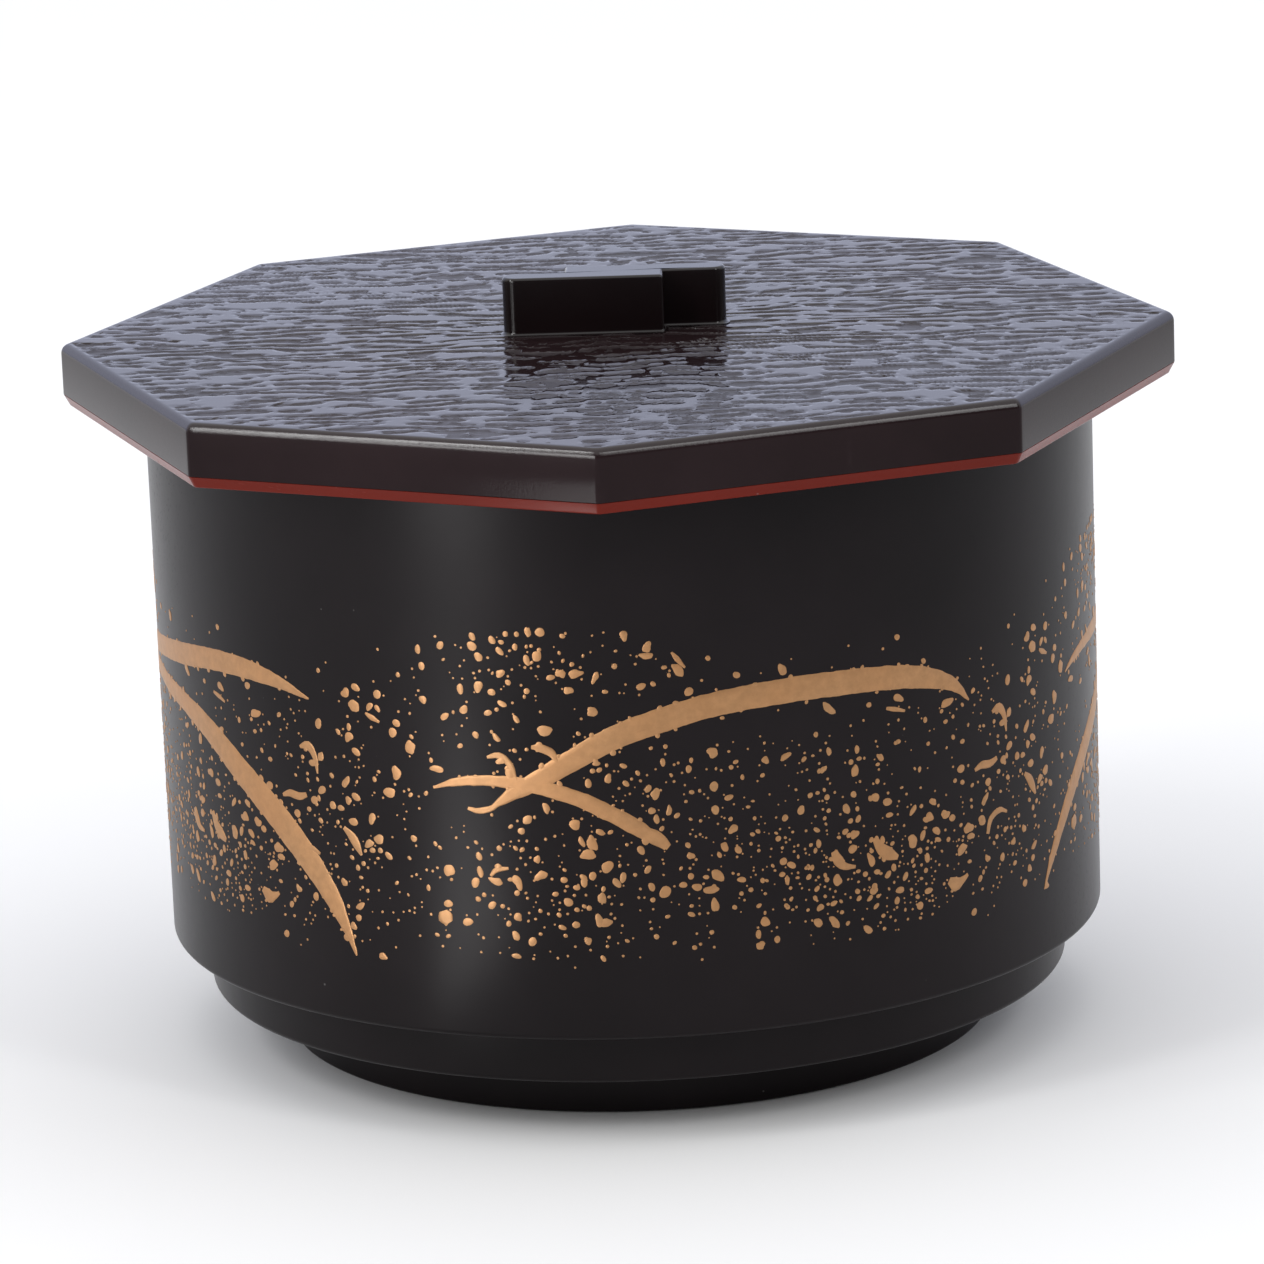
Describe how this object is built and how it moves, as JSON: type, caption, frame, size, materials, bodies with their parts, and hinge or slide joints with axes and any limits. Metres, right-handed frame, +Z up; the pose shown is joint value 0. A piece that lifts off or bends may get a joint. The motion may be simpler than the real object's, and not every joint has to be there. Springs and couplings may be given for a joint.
{
  "type": "lidded rice bowl",
  "caption": "Round lacquer-finish rice bowl on a stepped foot, with a lift-off octagonal lid that has a grained flat top, a thin coloured band below its skirt and a stepped bar knob.",
  "frame": {"origin": "centre of the circle that the foot ring stands on, at the bottom of the object", "axes": "+Z up, along the way the lid lifts; a corner of the octagonal lid points along -Y, and the knob's bars run along X"},
  "size_m": [0.164, 0.164, 0.1124],
  "materials": {
    "black_lacquer": "satin to gloss near-black lacquer on moulded resin",
    "lid_lacquer": "glossy dark brown-black lacquer with a raised wood-grain pattern on the flat top",
    "vermilion_lacquer": "glossy vermilion lacquer",
    "gold_decoration": "printed matt gold grass blades and splashes"
  },
  "bodies": {
    "bowl": {"bowl_body": "black_lacquer"},
    "lid": {"lid_cap": "lid_lacquer", "lid_liner": "vermilion_lacquer", "lid_knob": "lid_lacquer"}
  },
  "joints": [
    {"name": "lid_lift", "type": "slide", "parent": "bowl", "child": "lid", "axis": [0, 0, 1], "range_m": [0, 0.08]}
  ]
}
